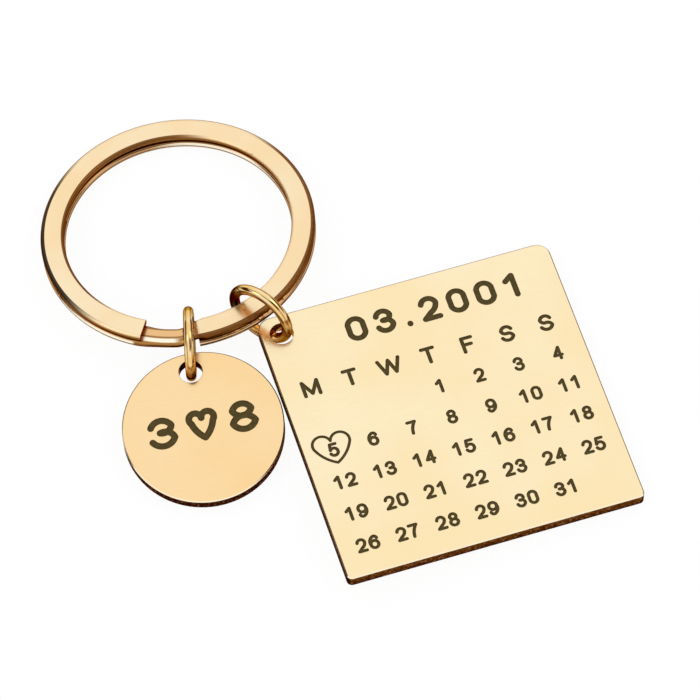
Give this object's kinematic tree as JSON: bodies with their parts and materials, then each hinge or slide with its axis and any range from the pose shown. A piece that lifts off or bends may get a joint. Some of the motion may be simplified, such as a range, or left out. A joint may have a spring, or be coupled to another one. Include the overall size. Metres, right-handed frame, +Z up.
{
  "type": "calendar keychain",
  "caption": "Flat-wire split ring carrying a square plate engraved with a month calendar and a round engraved tag, each hung on its own jump ring.",
  "frame": {"origin": "middle of the split ring, half way up its two turns", "axes": "+Z up from the table it lies on, +X to the reader's right and +Y away from the reader, past the top of the split ring"},
  "size_m": [0.0592, 0.0607, 0.0081],
  "materials": {
    "ring_wire": "polished",
    "jump_ring_wire": "polished",
    "plate_sheet": "fine satin, darkened engraving",
    "tag_sheet": "fine satin, darkened engraving"
  },
  "bodies": {
    "key_ring": {"split_ring": "ring_wire"},
    "plate_link": {"plate_jump_ring": "jump_ring_wire"},
    "plate": {"calendar_plate": "plate_sheet"},
    "tag_link": {"tag_jump_ring": "jump_ring_wire"},
    "tag": {"round_tag": "tag_sheet"}
  },
  "joints": [
    {"name": "plate_link_travel", "type": "hinge", "parent": "key_ring", "child": "plate_link", "pos_m": [0, 0, 0], "axis": [0.0021, 0.108, 0.9942], "range_deg": [0, 120]},
    {"name": "plate_flap", "type": "hinge", "parent": "plate_link", "child": "plate", "pos_m": [0.00736, -0.0127, 0.00164], "axis": [-0.6863, -0.7182, 0.1149], "range_deg": [0, 110]},
    {"name": "tag_link_travel", "type": "hinge", "parent": "key_ring", "child": "tag_link", "pos_m": [0, 0, 0], "axis": [0.0021, 0.108, 0.9942], "range_deg": [-90, 0]},
    {"name": "tag_swivel", "type": "hinge", "parent": "tag_link", "child": "tag", "pos_m": [-0.00108, -0.01782, 0.00007], "axis": [0.0064, -0.1078, 0.9942], "range_deg": [-33, 0]}
  ]
}
